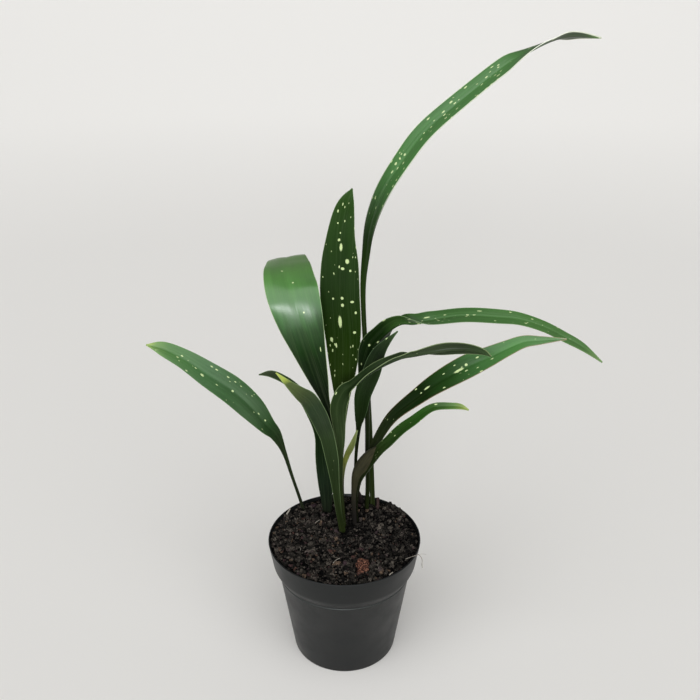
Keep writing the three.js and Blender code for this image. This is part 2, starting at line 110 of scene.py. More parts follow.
floor_profile = [(FLOOR_RADIUS, 0)]
for step in range(1, CURVE_STEPS + 1):
    turn = math.radians(FLOOR_TURN * step / CURVE_STEPS)
    floor_profile.append((FLOOR_RADIUS + FLOOR_CURVE * math.sin(turn),
                          FLOOR_CURVE * (1 - math.cos(turn))))
slope_end, slope_top = floor_profile[-1]
floor_profile.append((slope_end + FLOOR_SLOPE * math.cos(turn),
                      slope_top + FLOOR_SLOPE * math.sin(turn)))
floor = ring_of_edges("studio_floor", FLOOR_RADIUS, 0, FLOOR_SIDES)
pull_ring(floor_profile)
pick_edges(floor, lambda place: place.z < 1 * MM)
bpy.ops.mesh.edge_face_add()
close_up(inside=True)
bpy.ops.object.shade_smooth()

floor_board = new_material("Matte painted board", Base_Color=linear("f0ede8"), Roughness=0.8)
floor.data.materials.append(floor_board)

# ---- Light and camera ----
# An overcast sky that opens behind the photographer: a soft light over a quarter of the sky, and a
# brighter gap low in front of the plant, in an even dim surround. The camera stands where they did.
SKY_LIGHTS = [
    # the way to the light, its width in degrees, and its strength
    ((-0.07, -0.74, 0.67), 98, 2.5),
    ((-0.07, -0.98, 0.15), 20, 2.0),
]
SURROUND_STRENGTH = 0.26
CAMERA_PLACE = Vector((4.4, -525.4, 483.6)) * MM
CAMERA_TILT_DOWN = math.radians(23.07)
CAMERA_LENS = 41.14

for place, width, strength in SKY_LIGHTS:
    bpy.ops.object.light_add(type="SUN", location=place,
                             rotation=Vector(place).to_track_quat("Z", "Y").to_euler())
    sky = bpy.context.object.data
    sky.angle = math.radians(width)
    sky.energy = strength
    sky.color = linear("fafcff")[:3]

world = bpy.data.worlds.new("Overcast surround")
world.use_nodes = True
surround = world.node_tree.nodes["Background"].inputs
surround["Color"].default_value = linear("f6f6f4")
surround["Strength"].default_value = SURROUND_STRENGTH
bpy.context.scene.world = world
bpy.context.scene.view_settings.view_transform = "Standard"

bpy.ops.object.camera_add(location=CAMERA_PLACE,
                          rotation=(math.radians(90) - CAMERA_TILT_DOWN, 0, 0))
camera = bpy.context.object
camera.data.lens = CAMERA_LENS
camera.data.clip_start = 10 * MM
bpy.context.scene.camera = camera

# ---- Nursery pot ----
# A thin-walled round pot with a stepped rim band, injection moulded in dark grey polypropylene.
# The wall is drawn up from the base ring by ring, turned in at the rim and taken down inside.
RIM_RADIUS = 60 * MM
POT_HEIGHT = 100 * MM
BASE_RADIUS = 41.6 * MM
CREASE_RADIUS = 52.4 * MM
CREASE_HEIGHT = 72 * MM
BAND_RADIUS = 56.6 * MM
BAND_HEIGHT = 79.5 * MM
WALL = 1.2 * MM
BASE_PLATE = 1.6 * MM
BASE_BEVEL = 1.2 * MM
SHOULDER_ROUNDING = 1.8 * MM
FOOT_ROUNDING = 0.5 * MM
POT_SIDES = 160
DRAIN_HOLES = 8
DRAIN_RADIUS = 3.5 * MM
DRAIN_CIRCLE = 32 * MM
DRILL_LENGTH = 8 * MM
TOUCH = 0.01 * MM


def add_node(material, kind, inputs=None, **settings):
    """Adds a shader node. Each input is a value, a hex colour or another node's output."""
    node = material.node_tree.nodes.new("ShaderNode" + kind)
    for setting, value in settings.items():
        setattr(node, setting, value)
    for socket, value in (inputs or {}).items():
        if isinstance(value, bpy.types.NodeSocket):
            material.node_tree.links.new(value, node.inputs[socket])
        else:
            node.inputs[socket].default_value = linear(value) if isinstance(value, str) else value
    return node


def wire(material, **outputs):
    """Links outputs of nodes to these sockets of the shader, such as Normal=bumps."""
    for socket, output in outputs.items():
        material.node_tree.links.new(output, shader_socket(material, socket))


def reckoned(material, operation, *numbers):
    """The result of one sum, on plain values or on the outputs of other nodes."""
    inputs = dict(enumerate(numbers))
    return add_node(material, "Math", inputs, operation=operation).outputs["Value"]


def grainy(material, place, scale, detail, roughness=0.5):
    """A noise pattern over the place, with this many turns per unit."""
    return add_node(material, "TexNoise", {
        "Vector": place, "Scale": scale, "Detail": detail, "Roughness": roughness,
    }).outputs["Fac"]


def layered(material, factor, under, over):
    """The colour `under`, with the colour `over` laid on it by the factor."""
    return add_node(material, "Mix", {
        "Factor": factor, "A": under, "B": over,
    }, data_type="RGBA").outputs["Result"]


def between(material, value, start, end, least=0.0, most=1.0):
    """How far a value has come from start to end, turned into a number from least to most."""
    return add_node(material, "MapRange", {
        "Value": value, "From Min": start, "From Max": end, "To Min": least, "To Max": most,
    }).outputs["Result"]


def bumped(material, height, distance_mm, strength):
    """The normal of a surface that a height pattern raises by this many millimetres."""
    return add_node(material, "Bump", {
        "Height": height, "Strength": strength, "Distance": distance_mm * MM,
    }).outputs["Normal"]


def settle(piece, slot, *nodes):
    """Lets the finished piece ride on the plant and stand for these CAD nodes."""
    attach(piece, "root")
    if nodes:
        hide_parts(*nodes)


pot_profile = [
    (BASE_RADIUS - BASE_BEVEL, 0),
    (BASE_RADIUS - 0.3 * BASE_BEVEL, 0.3 * BASE_BEVEL),
    (BASE_RADIUS, BASE_BEVEL),
    (CREASE_RADIUS - 0.3 * MM, CREASE_HEIGHT - 1.8 * MM),
    (CREASE_RADIUS + 0.3 * MM, CREASE_HEIGHT - 0.8 * MM),
    (CREASE_RADIUS + 0.25 * MM, CREASE_HEIGHT - 0.4 * MM),
    (CREASE_RADIUS - 0.05 * MM, CREASE_HEIGHT),
    (BAND_RADIUS, BAND_HEIGHT),
    (RIM_RADIUS, POT_HEIGHT - 0.4 * MM),
    (RIM_RADIUS - 0.35 * MM, POT_HEIGHT),
    (RIM_RADIUS - WALL + 0.3 * MM, POT_HEIGHT),
    (RIM_RADIUS - WALL, POT_HEIGHT - 0.4 * MM),
    (BAND_RADIUS - WALL, BAND_HEIGHT + 0.6 * MM),
    (CREASE_RADIUS - WALL, CREASE_HEIGHT + 0.6 * MM),
    (BASE_RADIUS - WALL + 0.4 * MM, BASE_PLATE + 1.4 * MM),
    (BASE_RADIUS - WALL - 0.6 * MM, BASE_PLATE),
]
pot = ring_of_edges("pot_shell", *pot_profile[0], POT_SIDES)
pull_ring(pot_profile)
bpy.ops.mesh.edge_face_add()
pick_edges(pot, lambda place: place.z < TOUCH)
bpy.ops.mesh.edge_face_add()
pick_edges(pot, lambda place: abs(place.z - BAND_HEIGHT) < TOUCH)
bpy.ops.mesh.bevel(offset=SHOULDER_ROUNDING, segments=5)
pick_edges(pot, lambda place: abs(place.z - BASE_BEVEL) < TOUCH)
bpy.ops.mesh.bevel(offset=FOOT_ROUNDING, segments=3)
close_up()

for k in range(DRAIN_HOLES):
    angle = math.tau * (k + 0.5) / DRAIN_HOLES
    place = (DRAIN_CIRCLE * math.cos(angle), DRAIN_CIRCLE * math.sin(angle), 0)
    bpy.ops.mesh.primitive_cylinder_add(vertices=40, radius=DRAIN_RADIUS, depth=DRILL_LENGTH,
                                        location=place)
    drill = bpy.context.object
    bpy.context.view_layer.objects.active = pot
    hole = pot.modifiers.new("Drain hole", "BOOLEAN")
    hole.operation = "DIFFERENCE"
    hole.object = drill
    bpy.ops.object.modifier_apply(modifier=hole.name)
    bpy.data.objects.remove(drill)
pot.select_set(True)
bpy.ops.object.shade_smooth_by_angle(angle=math.radians(40))

# Moulded polypropylene: satin, with the faint orange peel of a worn mould, cloudy with handling,
# rubbed paler in scuffs, a little dusty at the foot, and paler along the crease: wear and a painted
# highlight.
plastic = new_material("Moulded polypropylene", IOR=1.49, Specular_IOR_Level=0.3)
place = add_node(plastic, "TexCoord").outputs["Object"]
height = add_node(plastic, "SeparateXYZ", {"Vector": place}).outputs["Z"]
clouds = grainy(plastic, place, 42, 5, 0.6)
plastic_tone = layered(plastic, between(plastic, clouds, 0.35, 0.68), "080a0a", "0e1111")
scratch_lie = add_node(plastic, "Mapping", {"Vector": place, "Scale": (1, 1, 5)})
scratches = grainy(plastic, scratch_lie.outputs["Vector"], 150, 8, 0.72)
scuffs = between(plastic, scratches, 0.6, 0.78, 0, 0.8)
plastic_tone = layered(plastic, scuffs, plastic_tone, "252827")
# The pale line along the crease is partly rubbed wear and partly a painted highlight.
above_crease = between(plastic, height, CREASE_HEIGHT - 1 * MM, CREASE_HEIGHT - 0.4 * MM)
below_crease = between(plastic, height, CREASE_HEIGHT + 0.4 * MM, CREASE_HEIGHT - 0.1 * MM, 0, 0.8)
crease_wear_and_highlight = reckoned(plastic, "MULTIPLY", above_crease, below_crease)
plastic_tone = layered(plastic, crease_wear_and_highlight, plastic_tone, "343836")
specks = between(plastic, grainy(plastic, place, 700, 4, 0.8), 0.5, 0.7)
foot_dust = between(plastic, height, 9 * MM, 0, 0, 0.3)
plastic_tone = layered(plastic, reckoned(plastic, "MULTIPLY", specks, foot_dust),
                       plastic_tone, "48443e")
satin = between(plastic, clouds, 0.3, 0.7, 0.34, 0.5)
peel = grainy(plastic, place, 800, 2)
wire(plastic, Base_Color=plastic_tone, Roughness=satin, Normal=bumped(plastic, peel, 0.05, 0.3))
pot.data.materials.append(plastic)
settle(pot, "pot", "pot")

# ---- Leaf blades and stalks ----
# Twelve leathery leaves, each a blade that narrows into its own channelled stalk. Each starts as
# a flat grid, one way across and one way along, which is bent along its midrib and thickened.
BLADE_GROWTH = 0.25
MARGIN_THICKNESS = 0.4
MIDRIB_THICKNESS = 1.5
MIDRIB_WIDTH = 1.6
STALK_THICKNESS = 2.4
GROOVE_DEPTH = 0.3
GROOVE_WIDTH = 0.9
LEAST_HALF_WIDTH = 0.35
LEAF_COLUMNS = 44
LEAF_ROWS = 200
RIBS = 4
RIB_RELIEF = 0.025
DENT_RELIEF = 0.35


def smooth(x):
    """x, held to 0 to 1 and eased."""
    x = min(max(x, 0), 1)
    return x * x * (3 - 2 * x)


def column_at(rows, column, t):
    """The Catmull-Rom value of one column of the rows at t, from 0 at the foot to 1 at the tip."""
    last = len(rows) - 1
    along = min(max(t, 0), 1) * last
    i = min(int(along), last - 1)
    f = along - i
    b = rows[i][column]
    c = rows[i + 1][column]
    a = rows[i - 1][column] if i > 0 else 2 * b - c
    d = rows[i + 2][column] if i + 2 <= last else 2 * c - b
    return 0.5 * (2 * b + (c - a) * f + (2 * a - 5 * b + 4 * c - d) * f ** 2
                  + (3 * b - a - 3 * c + d) * f ** 3)


def midrib_at(midrib, t):
    return Vector([column_at(midrib, column, t) for column in range(3)])


def face_at(midrib, faces, t):
    """The way that the upper side looks at t, eased from one stated row to the next."""
    row = min(max(t, 0), 1) * (len(midrib) - 1)
    k = 0
    while k < len(faces) - 2 and faces[k + 1][0] <= row:
        k += 1
    begin = Vector(faces[k][1:]).normalized()
    end = Vector(faces[k + 1][1:]).normalized()
    return begin.lerp(end, smooth((row - faces[k][0]) / (faces[k + 1][0] - faces[k][0])))


def grow_leaf(name, midrib, faces, fold, blade_from, crease=(0, 0, 1), curl=0.1, wave=0.05,
              wave_phase=0, thickness=None, rows=LEAF_ROWS):
    """Bends a grid along the midrib [x, y, z, half width] in mm and gives it its thickness.

    faces are [row, x, y, z], where the upper side looks at that row of the midrib. fold is the V
    of the two halves in degrees, and crease is [row, degrees, rows], where the V tightens.
    """
    bpy.ops.mesh.primitive_grid_add(x_subdivisions=LEAF_COLUMNS, y_subdivisions=rows, size=2)
    leaf = bpy.context.object
    leaf.name = name
    step = 1e-3
    stations = []
    travelled = 0
    before = midrib_at(midrib, 0)
    for row in range(rows + 1):
        t = row / rows
        spine = midrib_at(midrib, t)
        travelled += (spine - before).length
        before = spine
        tangent = midrib_at(midrib, min(t + step, 1)) - midrib_at(midrib, max(t - step, 0))
        tangent.normalize()
        normal = face_at(midrib, faces, t)
        normal = (normal - tangent * normal.dot(tangent)).normalized()
        half = max(column_at(midrib, 3, t), LEAST_HALF_WIDTH)
        blade = smooth((t - blade_from) / BLADE_GROWTH)
        away = (t * (len(midrib) - 1) - crease[0]) / crease[2]
        bend = math.radians(fold + crease[1] * math.exp(-away ** 2))
        stations.append((spine, normal, tangent.cross(normal), half, blade, bend, travelled))

    zones = []
    grains = []
    thick = leaf.vertex_groups.new(name="thickness")
    for vertex in leaf.data.vertices:
        u = vertex.co.x
        row = round((vertex.co.y + 1) / 2 * rows)
        t = row / rows
        spine, normal, across, half, blade, bend, travelled = stations[row]
        valley = math.sqrt(u * u + 0.01) - 0.1
        ripple = math.sin(5 * math.pi * t + wave_phase + (1.9 if u > 0 else 0))
        rise = half * blade * (valley * math.sin(bend) - curl * u * u + wave * u * abs(u) * ripple)
        groove = GROOVE_DEPTH * math.exp(-(u * half / GROOVE_WIDTH) ** 2) * (1 - 0.7 * t)
        ribs = RIB_RELIEF * math.cos(math.tau * RIBS * u) * (1 - u * u)
        dents = DENT_RELIEF * noise.noise(Vector((u * half / 9, travelled / 28, midrib[0][0])))
        rise += blade * (ribs + dents * abs(u)) - groove
        vertex.co = (spine + across * half * u * math.cos(bend) + normal * rise) * MM

        taper = 1 - 0.8 * smooth((t - 0.7) / 0.3)
        ridge = (MIDRIB_THICKNESS - MARGIN_THICKNESS) * taper
        ridge *= math.exp(-(u * half / MIDRIB_WIDTH) ** 2)
        round_stalk = (STALK_THICKNESS - MARGIN_THICKNESS) * math.sqrt(max(1 - u * u, 0))
        depth = MARGIN_THICKNESS + round_stalk * (1 - blade) + ridge * blade
        thick.add([vertex.index], (thickness or depth) / STALK_THICKNESS, "REPLACE")
        zones += [u, t, (1 - abs(u)) * half]
        grains += [u * half, travelled, blade]
    for attribute, values in (("leaf_zone", zones), ("leaf_grain", grains)):
        layer = leaf.data.attributes.new(attribute, "FLOAT_VECTOR", "POINT")
        layer.data.foreach_set("vector", values)

    shell = leaf.modifiers.new("Blade", "SOLIDIFY")
    shell.thickness = STALK_THICKNESS * MM
    shell.offset = -1
    shell.vertex_group = thick.name
    shell.material_offset = 1
    bpy.ops.object.modifier_apply(modifier=shell.name)
    bpy.ops.object.shade_smooth_by_angle(angle=math.radians(50))
    return leaf


def carried(material, attribute, output="Vector"):
    """A value that every point of the piece carries with it."""
    return add_node(material, "Attribute", attribute_name=attribute).outputs[output]


def along_grain(material, across_scale, along_scale, seed, detail=4, roughness=0.6):
    """Noise drawn out along the leaf, its two scales in turns per millimetre."""
    lie = add_node(material, "Mapping", {
        "Vector": carried(material, "leaf_grain"), "Location": (seed, seed, seed),
        "Scale": (across_scale, along_scale, 1),
    })
    return grainy(material, lie.outputs["Vector"], 1, detail, roughness)


def cream_flecks(material, share, seed):
    """Small cream flecks that lie along the veins, in loose clusters, in a share of all places."""
    grain = carried(material, "leaf_grain")
    wobble = add_node(material, "TexNoise", {"Vector": grain, "Scale": 0.9})
    shifted = add_node(material, "VectorMath", {
        0: wobble.outputs["Color"], 1: (0.7, 0.7, 0), 2: grain,
    }, operation="MULTIPLY_ADD")
    lie = add_node(material, "Mapping", {
        "Vector": shifted.outputs["Vector"], "Location": (seed * 3, seed, 0),
        "Scale": (0.5, 0.19, 1),
    })
    cells = add_node(material, "TexVoronoi", {
        "Vector": lie.outputs["Vector"], "Scale": 1,
    }, voronoi_dimensions="2D")
    chance = add_node(material, "SeparateColor", {"Color": cells.outputs["Color"]})
    reach = between(material, chance.outputs["Green"], 0, 1, 0.05, 0.26)
    inside = reckoned(material, "SUBTRACT", reach, cells.outputs["Distance"])
    clusters = along_grain(material, 0.09, 0.03, seed + 40, detail=1)
    wanted = between(material, clusters, 0.35, 0.65, 0, 2 * share)
    chosen = reckoned(material, "LESS_THAN", chance.outputs["Red"], wanted)
    return reckoned(material, "MULTIPLY", between(material, inside, -0.03, 0.05), chosen)


def with_blots(material, flecks, zone, blots, length, half):
    """Adds the larger cream patches, each [t, u, length, width] with its size in mm."""
    rough_edge = between(material, grainy(material, zone, 60, 1), 0.3, 0.7, 0.85, 1.25)
    for t, u, blot_length, blot_width in blots:
        reach = add_node(material, "Mapping", {
            "Vector": zone, "Location": (u, t, 0),
            "Scale": (blot_width / half / 2, blot_length / length / 2, 1e6),
        }, vector_type="TEXTURE")
        distance = add_node(material, "VectorMath", {0: reach.outputs["Vector"]}, operation="LENGTH")
        edge = reckoned(material, "SUBTRACT", rough_edge, distance.outputs["Value"])
        flecks = reckoned(material, "MAXIMUM", flecks, between(material, edge, -0.15, 0.15))
    return flecks


def tone_ramp(material, factor, stops):
    """The colour at a factor, between stops of [factor, colour]."""
    ramp = add_node(material, "ValToRGB", {"Fac": factor})
    elements = ramp.color_ramp.elements
    while len(elements) < len(stops):
        elements.new(0.5)
    for element, (position, hex_colour) in zip(elements, stops):
        element.position = position
        element.color = linear(hex_colour)
    return ramp.outputs["Color"]


def leaf_tissue(name, tones, length, half, seed, flecks=0.02, blots=(), wax=0.7, waxy_from=0.45,
                roughness=0.33, margin="93ad79", rim_strength=0.3, rim_width=0.5):
    """Living leaf skin: waxy and finely veined, with cream flecks that lie along the veins.

    tones are the [t, colour] of the skin from foot to tip, with painted shade and light in them, and
    wax is its shine past waxy_from.
    """
    tissue = new_material(name, IOR=1.45)
    zone = carried(tissue, "leaf_zone")
    place = add_node(tissue, "SeparateXYZ", {"Vector": zone})
    blade = add_node(tissue, "SeparateXYZ", {"Vector": carried(tissue, "leaf_grain")}).outputs["Z"]
    streaks = along_grain(tissue, 0.16, 0.012, seed)
    veins = along_grain(tissue, 1.7, 0.01, seed + 20, detail=3, roughness=0.5)

    patches = between(tissue, along_grain(tissue, 0.4, 0.04, seed + 60), 0, 1, -0.5, 0.5)
    wander = reckoned(tissue, "MULTIPLY_ADD", patches, 0.07, place.outputs["Y"])
    streaked = add_node(tissue, "VectorMath", {
        0: tone_ramp(tissue, wander, tones),
        "Scale": between(tissue, streaks, 0.3, 0.7, 0.84, 1.16),
    }, operation="SCALE")
    colour = layered(tissue, between(tissue, veins, 0.5, 0.72, 0, 0.04),
                     streaked.outputs["Vector"], margin)

    cream = with_blots(tissue, cream_flecks(tissue, flecks, seed), zone, blots, length, half)
    colour = layered(tissue, reckoned(tissue, "MULTIPLY", cream, blade), colour, "bccd94")
    rim = between(tissue, place.outputs["Z"], rim_width, 0.4 * rim_width, 0, rim_strength)
    colour = layered(tissue, reckoned(tissue, "MULTIPLY", rim, blade), colour, margin)
    shine = between(tissue, place.outputs["Y"], waxy_from, waxy_from + 0.14, 0.12 * wax, wax)
    dullness = between(tissue, streaks, 0.3, 0.7, roughness - 0.04, roughness + 0.06)
    wire(tissue, Base_Color=colour, Specular_IOR_Level=shine, Roughness=dullness,
         Normal=bumped(tissue, veins, 0.03, 0.4))
    return tissue


LEAVES = {
    "leaf_tall_arching": {
        "midrib": [
            [23.7, 40, 84, 2.1], [23.2, 45, 104, 2.2], [20.5, 46, 170, 2], [16, 46, 245, 1.9],
            [14, 44, 290, 2.2], [16, 42, 320, 3.7], [18, 40, 337, 5.3], [22, 38, 352, 6.6],
            [29, 37, 368, 7.8], [41, 36, 387, 8.6], [56, 34, 407, 9], [78, 31, 427, 8.8],
            [102, 28, 447, 8.4], [115, 26, 456, 8], [133, 25, 465, 6.4], [148, 24, 468, 4.2],
            [165, 23, 467, 0.4],
        ],
        "faces": [
            [0, -0.3, -1, 0.1], [3, -0.4, -1, 0.15], [6, -0.8, -0.8, 0.3],
            [9, -0.5, -0.65, 0.65], [12, -0.5, -0.6, 0.7], [14, -0.5, 0.12, 0.85],
            [15, -0.3, 0.65, 0.75], [16, -0.2, 0.7, 0.7],
        ],
        "fold": 16, "blade_from": 0.35, "wave_phase": 1,
    },
    "leaf_upright": {
        "midrib": [
            [-2, 44, 84, 2.1], [-3, 44, 124, 1.9], [-3, 44, 157, 2.1], [-2, 43, 194, 5.3],
            [-1, 41, 226, 10.5], [-1, 39, 256, 13.9], [-3, 37, 286, 15], [-3, 35, 313, 13.8],
            [-2.2, 33, 334, 10.4], [0, 32, 351, 7.8], [2.6, 30, 361, 5], [6, 30, 369, 0.4],
        ],
        "faces": [[0, -0.1, -1, 0.15], [4, -0.05, -1, 0.2], [8, 0, -1, 0.25], [11, 0.1, -1, 0.3]],
        "fold": 10, "blade_from": 0.15,
    },
    "leaf_arching_back": {
        "midrib": [
            [-5, 27, 84, 2], [-4, 26, 135, 1.9], [-5, 26, 157, 1.9], [-8, 24, 182, 2],
            [-14, 21, 207, 3.3], [-19, 18, 227, 7.5], [-25, 15, 250, 12], [-31, 13, 274, 16.7],
            [-36.8, 20, 295, 19.2], [-41, 40, 304, 18.8], [-43.5, 64, 305.5, 16.6],
            [-46.5, 92, 301, 13.6], [-49, 113, 280, 8.6], [-51, 128, 254, 0.5],
        ],
        "faces": [
            [0, -0.15, -1, 0.05], [4, -0.1, -1, 0.15], [7, -0.1, -1, 0.5], [8, -0.1, -0.6, 0.8],
            [9, 0, -0.05, 1], [10, -0.1, 0.4, 1], [11, -0.2, 0.8, 0.7], [13, -0.1, 1, 0.4],
        ],
        "fold": 9, "blade_from": 0.12, "curl": 0.17,
    },
    "leaf_front_short": {
        "midrib": [
            [0.2, 4, 84, 2.4], [-1.8, 6, 101, 2.6], [-4.6, 6, 120, 2.6], [-7, 6, 144, 3.5],
            [-9, 3, 167, 5.3], [-12, 1, 186, 5.9], [-15, -1, 197, 6.5], [-19, -4, 210, 7],
            [-25, -7, 223, 6.6], [-31, -10, 230, 5.2], [-37, -13, 237, 3.4], [-47, -18, 250, 0.4],
        ],
        "faces": [[0, -0.2, -1, 0.2], [4, -0.25, -1, 0.35], [7, -0.2, -1, 0.5], [11, 0, -0.9, 0.6]],
        "fold": 15, "blade_from": 0.1,
    },
    "leaf_far_left": {
        "midrib": [
            [-31, 35, 84, 1.4], [-36.5, 39.5, 105, 1.3], [-43, 40, 129, 1.3], [-49, 38, 154, 2.1],
            [-55, 36, 171, 4.9], [-61.5, 34, 180.5, 7.1], [-72, 32, 196.5, 10.4],
            [-86, 30, 212.5, 11.4], [-102.5, 27, 227, 10.2], [-120, 24, 242, 7.9],
            [-135, 21, 252, 5.7], [-146, 19, 256, 0.4],
        ],
        "faces": [[0, 0.2, -1, 0.2], [4, 0.25, -0.9, 0.4], [7, 0.3, -0.8, 0.6], [11, 0.2, -0.7, 0.75]],
        "fold": 13, "blade_from": 0.2,
    },
    "leaf_right_arching": {
        "midrib": [
            [17.3, 39, 84, 1.9], [18.9, 41, 116, 1.8], [18.3, 40, 150, 1.8], [18, 40, 187, 2.1],
            [17, 38, 208, 5], [19, 38, 228, 9], [23, 36, 247, 12.2], [32, 34, 260, 11.6],
            [42, 32, 268, 10], [52, 30, 269, 9.6], [65, 28, 272, 8.8], [88, 26, 276, 8.2],
            [114, 23, 276, 7.5], [129, 21, 275, 6.6], [146, 19, 270, 5.9], [161, 17, 263, 5.2],
            [175, 14, 256, 3.9], [190, 12, 245, 0.5],
        ],
        "faces": [
            [0, -0.2, 1, 0.1], [3, -0.2, 1, 0.15], [6, -0.3, 0.9, 0.4], [7, -0.4, 0.75, 0.6],
            [9, -0.3, 0.05, 1], [10, -0.1, -0.3, 1], [13, 0.1, -0.5, 1], [17, 0.3, -0.6, 0.8],
        ],
        "fold": 14, "crease": [8.4, 38, 1.5], "blade_from": 0.14,
    },
    "leaf_middle_narrow": {
        "midrib": [
            [0.8, 12.5, 84, 2.2], [-3, 17, 128, 1.8], [-3, 18, 157, 2], [-3, 16, 178, 3.7],
            [-4, 14, 193, 5.3], [-4, 12, 208, 6.7], [0, 10, 220, 6.8], [7, 8, 228, 6.4],
            [21, 4, 242, 6.2], [39, 1, 253, 6.4], [50, 0, 256, 7], [61, -2, 259, 7.2],
            [75, -4, 262, 6.8], [87, -6, 263, 5.8], [97, -8, 262, 3.8], [104, -9, 259, 0.5],
        ],
        "faces": [
            [0, -0.1, -1, 0.1], [4, -0.1, -1, 0.15], [6, -0.3, -0.8, 0.5], [7, -0.4, -0.3, 0.9],
            [8, -0.3, -0.15, 1], [9, -0.2, 0.15, 1], [10, -0.1, 0.6, 0.9], [12, 0.1, 0.9, 0.5],
            [15, 0.3, 0.9, 0.45],
        ],
        "fold": 14, "crease": [8.4, 25, 1.5], "blade_from": 0.12,
    },
    "leaf_right_broad": {
        "midrib": [
            [8, 29, 84, 2.2], [9, 29, 114, 2.2], [12, 28, 135, 2.5], [22, 25, 164, 3.5],
            [28, 23, 179, 4.2], [35, 20, 193, 4.9], [43, 18, 203, 5.6], [55, 15, 215, 6.9],
            [65, 12, 225, 8], [79, 9, 236, 9.2], [92, 6, 245, 9.6], [104, 4, 252, 8.4],
            [117, 2, 260, 6.6], [128, 0, 266, 5.2], [139, -2, 268, 3.6], [157, -4, 270, 0.4],
        ],
        "faces": [
            [0, -0.4, -0.9, 0.2], [3, -0.5, -0.75, 0.45], [8, -0.4, -0.7, 0.6],
            [12, -0.3, -0.65, 0.75], [15, -0.1, -0.6, 0.8],
        ],
        "fold": 15, "blade_from": 0.22,
    },
    "leaf_right_small": {
        "midrib": [
            [10.5, 21, 84, 1.9], [8.3, 20, 121, 2], [11.5, 19, 139, 2.3], [25, 14, 167, 4.1],
            [34, 11, 179, 4.5], [43, 8, 191, 4.5], [52, 4, 201, 4.1], [61, 2, 210, 3.5],
            [68, -1, 215, 3.1], [78, -4, 217, 2.7], [85, -5, 217, 2.3], [91, -6, 215, 0.4],
        ],
        "faces": [
            [0, -0.4, -0.9, 0.3], [4, -0.5, -0.7, 0.6], [8, -0.3, -0.65, 0.75],
            [11, -0.1, -0.6, 0.85],
        ],
        "fold": 16, "blade_from": 0.2,
    },
    "leaf_dark_short": {
        "midrib": [
            [11, 43, 84, 1.3], [9, 42, 116, 1.2], [9, 38, 146, 1.2], [11, 34, 177, 2],
            [12, 33, 187, 3.8], [13, 32, 197, 5.4], [14, 30, 208, 6.4], [17, 28, 219, 7.1],
            [21, 26, 231, 7.2], [24, 24, 242, 6.4], [27, 22, 250, 4.9], [32, 20, 258, 2.7],
            [39, 18, 267, 0.4],
        ],
        "faces": [[0, -0.1, -1, 0.1], [3, -0.1, -1, 0.15], [8, -0.3, -0.9, 0.3], [12, -0.4, -0.8, 0.4]],
        "fold": 11, "blade_from": 0.22,
    },
    "leaf_left_back": {
        "midrib": [
            [-16.5, 35, 84, 1.8], [-14.8, 34, 102, 4.2], [-15.9, 33, 126, 6.1],
            [-18.2, 31, 151, 5.3], [-18, 29, 170, 5.4], [-20, 27, 183, 5.4],
            [-25, 24, 198, 5.2], [-30, 22, 210, 4.7], [-37, 20, 220, 3.9],
            [-44, 17, 228, 3.2], [-54, 15, 234, 2.8], [-63, 12, 235, 0.4],
        ],
        "faces": [[0, -0.3, -1, 0.1], [5, -0.25, -1, 0.25], [8, -0.2, -1, 0.5], [11, 0, -0.85, 0.6]],
        "fold": 16, "blade_from": 0.08,
    },
    "leaf_young": {
        "midrib": [
            [0, 33, 84, 1.5], [-2, 32, 122, 1.4], [-1, 30, 143, 1.8], [2, 29, 156, 2.4],
            [6, 28, 166, 2.5], [10, 27, 180, 0.4],
        ],
        "faces": [[0, -0.1, -1, 0.2], [5, -0.3, -1, 0.3]],
        "fold": 24, "blade_from": 0.3,
    },
}
